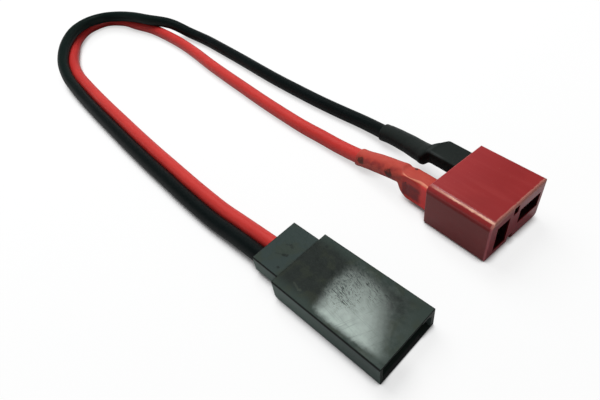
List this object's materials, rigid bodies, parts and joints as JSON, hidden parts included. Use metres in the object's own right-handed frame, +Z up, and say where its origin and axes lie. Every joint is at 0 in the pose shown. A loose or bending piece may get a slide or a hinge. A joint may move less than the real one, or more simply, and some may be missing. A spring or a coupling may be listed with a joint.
{
  "type": "battery connector adapter lead",
  "caption": "Short two-wire adapter lead that joins a red T-slot battery socket to a flat black pin-header socket, with shrunk sleeves at the solder tabs.",
  "frame": {"origin": "centre of the underside of the black pin housing's body, on the surface it lies on", "axes": "+X out of the black housing's mouth, +Y towards the red housing, +Z up"},
  "size_m": [0.1188, 0.0387, 0.0072],
  "materials": {
    "red_plastic": "moulded, satin gloss",
    "black_plastic": "moulded, glossy with fine scratches",
    "red_insulation": "soft silicone",
    "black_insulation": "soft silicone",
    "red_sleeve": "shrunk sleeve, satin",
    "black_sleeve": "shrunk sleeve, satin",
    "contact_metal": "plated, bright",
    "spring_metal": "plated, bright",
    "pin_metal": "plated, bright",
    "tinned_copper": "tinned strands",
    "solder": "bright solder"
  },
  "bodies": {
    "root": {"plug_housing": "red_plastic", "contact_positive": "contact_metal", "contact_negative": "contact_metal", "contact_spring_positive": "spring_metal", "contact_spring_negative": "spring_metal", "tab_strands_positive": "tinned_copper", "tab_strands_negative": "tinned_copper", "solder_positive": "solder", "solder_negative": "solder", "sleeve_positive": "red_sleeve", "sleeve_negative": "black_sleeve", "wire_positive": "red_insulation", "wire_negative": "black_insulation", "pin_housing": "black_plastic", "pin_positive": "pin_metal", "pin_negative": "pin_metal", "crimp_strands_positive": "tinned_copper", "crimp_strands_negative": "tinned_copper"}
  },
  "joints": []
}
